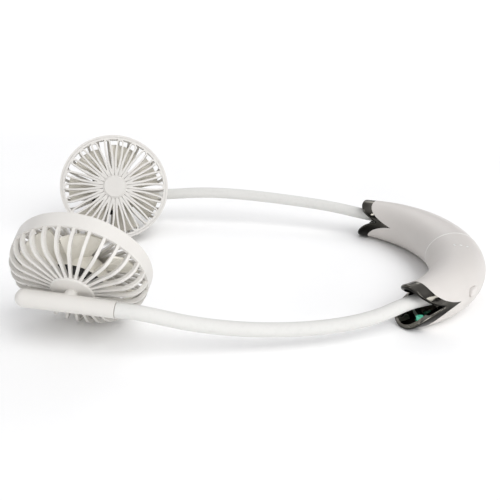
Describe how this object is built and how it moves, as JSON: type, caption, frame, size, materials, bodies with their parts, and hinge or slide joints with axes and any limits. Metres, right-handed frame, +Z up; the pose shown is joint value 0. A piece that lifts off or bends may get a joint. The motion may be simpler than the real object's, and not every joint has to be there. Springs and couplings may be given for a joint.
{
  "type": "neck fan",
  "caption": "Hands-free neck fan: a hollow crescent worn behind the neck, bendable arms, and caged fan heads that swivel on tubes at their ends.",
  "frame": {"origin": "on the table, under the middle of the overall box", "axes": "+X towards the crescent worn behind the neck, +Y to the wearer's right arm, +Z up"},
  "size_m": [0.3013, 0.2038, 0.0775],
  "materials": {
    "shell_white": "satin warm white",
    "bezel_dark": "glossy black plated",
    "inner_black": "matt black",
    "battery_wrap": "glossy blue wrap",
    "board_green": "satin green",
    "steel": "brushed",
    "lens_clear": "clear, slightly frosted",
    "lens_green": "clear green",
    "button_grey": "satin warm white",
    "silicone_white": "matt off white",
    "cable_black": "matt black",
    "head_white": "satin warm white",
    "cage_white": "satin warm white",
    "grille_white": "satin warm white",
    "motor_black": "matt black",
    "motor_steel": "plain steel can",
    "impeller_grey": "satin pale grey"
  },
  "bodies": {
    "housing": {"housing_shell_left": "shell_white", "housing_shell_right": "shell_white", "left_bezel": "bezel_dark", "right_bezel": "bezel_dark", "battery_tray": "inner_black", "battery_cell": "battery_wrap", "main_board": "board_green", "charge_socket": "steel", "switch_board": "board_green", "power_switch": "inner_black", "battery_lights": "lens_clear", "status_light": "lens_green", "shell_screws": "steel", "left_neck_ferrule": "steel", "right_neck_ferrule": "steel"},
    "power_button": {"power_button": "button_grey"},
    "left_neck": {"left_gooseneck": "silicone_white", "left_neck_core": "steel", "left_neck_lead": "cable_black"},
    "left_neck_tip": {"left_swivel_plug": "inner_black"},
    "left_head": {"left_tube": "head_white", "left_rear_cage": "cage_white", "left_front_grille": "grille_white", "left_head_clip": "steel", "left_motor_plate": "motor_black", "left_motor": "motor_steel", "left_head_lead": "cable_black"},
    "left_fan": {"left_impeller": "impeller_grey", "left_motor_shaft": "steel"},
    "right_neck": {"right_gooseneck": "silicone_white", "right_neck_core": "steel", "right_neck_lead": "cable_black"},
    "right_neck_tip": {"right_swivel_plug": "inner_black"},
    "right_head": {"right_tube": "head_white", "right_rear_cage": "cage_white", "right_front_grille": "grille_white", "right_head_clip": "steel", "right_motor_plate": "motor_black", "right_motor": "motor_steel", "right_head_lead": "cable_black"},
    "right_fan": {"right_impeller": "impeller_grey", "right_motor_shaft": "steel"}
  },
  "joints": [
    {"name": "button_press", "type": "slide", "parent": "housing", "child": "power_button", "axis": [-0.7482, 0.6635, 0], "range_m": [0, 0.0008], "stiffness_N_per_m": 1000},
    {"name": "left_spread", "type": "hinge", "parent": "housing", "child": "left_neck", "pos_m": [0.028, -0.0896, 0.0125], "axis": [0, 0, 1], "range_deg": [-10, 25], "deforming": ["left_gooseneck", "left_neck_core", "left_neck_lead"]},
    {"name": "left_lift", "type": "hinge", "parent": "left_neck", "child": "left_neck_tip", "pos_m": [-0.009, -0.095, 0.0139], "axis": [0, 1, 0], "range_deg": [-25, 40], "deforming": ["left_gooseneck", "left_neck_core", "left_neck_lead"]},
    {"name": "left_tilt", "type": "hinge", "parent": "left_neck_tip", "child": "left_head", "pos_m": [-0.1157, -0.0906, 0.0286], "axis": [0.9848, -0.1674, -0.0471], "range_deg": [-90, 150]},
    {"name": "left_spin", "type": "hinge", "parent": "left_head", "child": "left_fan", "pos_m": [-0.11226, -0.07265, 0.03673], "axis": [0.172, 0.8974, 0.4063], "continuous": true},
    {"name": "right_spread", "type": "hinge", "parent": "housing", "child": "right_neck", "pos_m": [0.028, 0.09, 0.0219], "axis": [0, 0, -1], "range_deg": [-10, 25], "deforming": ["right_gooseneck", "right_neck_core", "right_neck_lead"]},
    {"name": "right_lift", "type": "hinge", "parent": "right_neck", "child": "right_neck_tip", "pos_m": [-0.008, 0.0952, 0.0242], "axis": [0, 1, 0], "range_deg": [-25, 40], "deforming": ["right_gooseneck", "right_neck_core", "right_neck_lead"]},
    {"name": "right_tilt", "type": "hinge", "parent": "right_neck_tip", "child": "right_head", "pos_m": [-0.1157, 0.0906, 0.0247], "axis": [-0.9848, -0.1674, 0.0471], "range_deg": [-90, 150]},
    {"name": "right_spin", "type": "hinge", "parent": "right_head", "child": "right_fan", "pos_m": [-0.11235, 0.07383, 0.03508], "axis": [0.1674, -0.8383, 0.5189], "continuous": true}
  ]
}
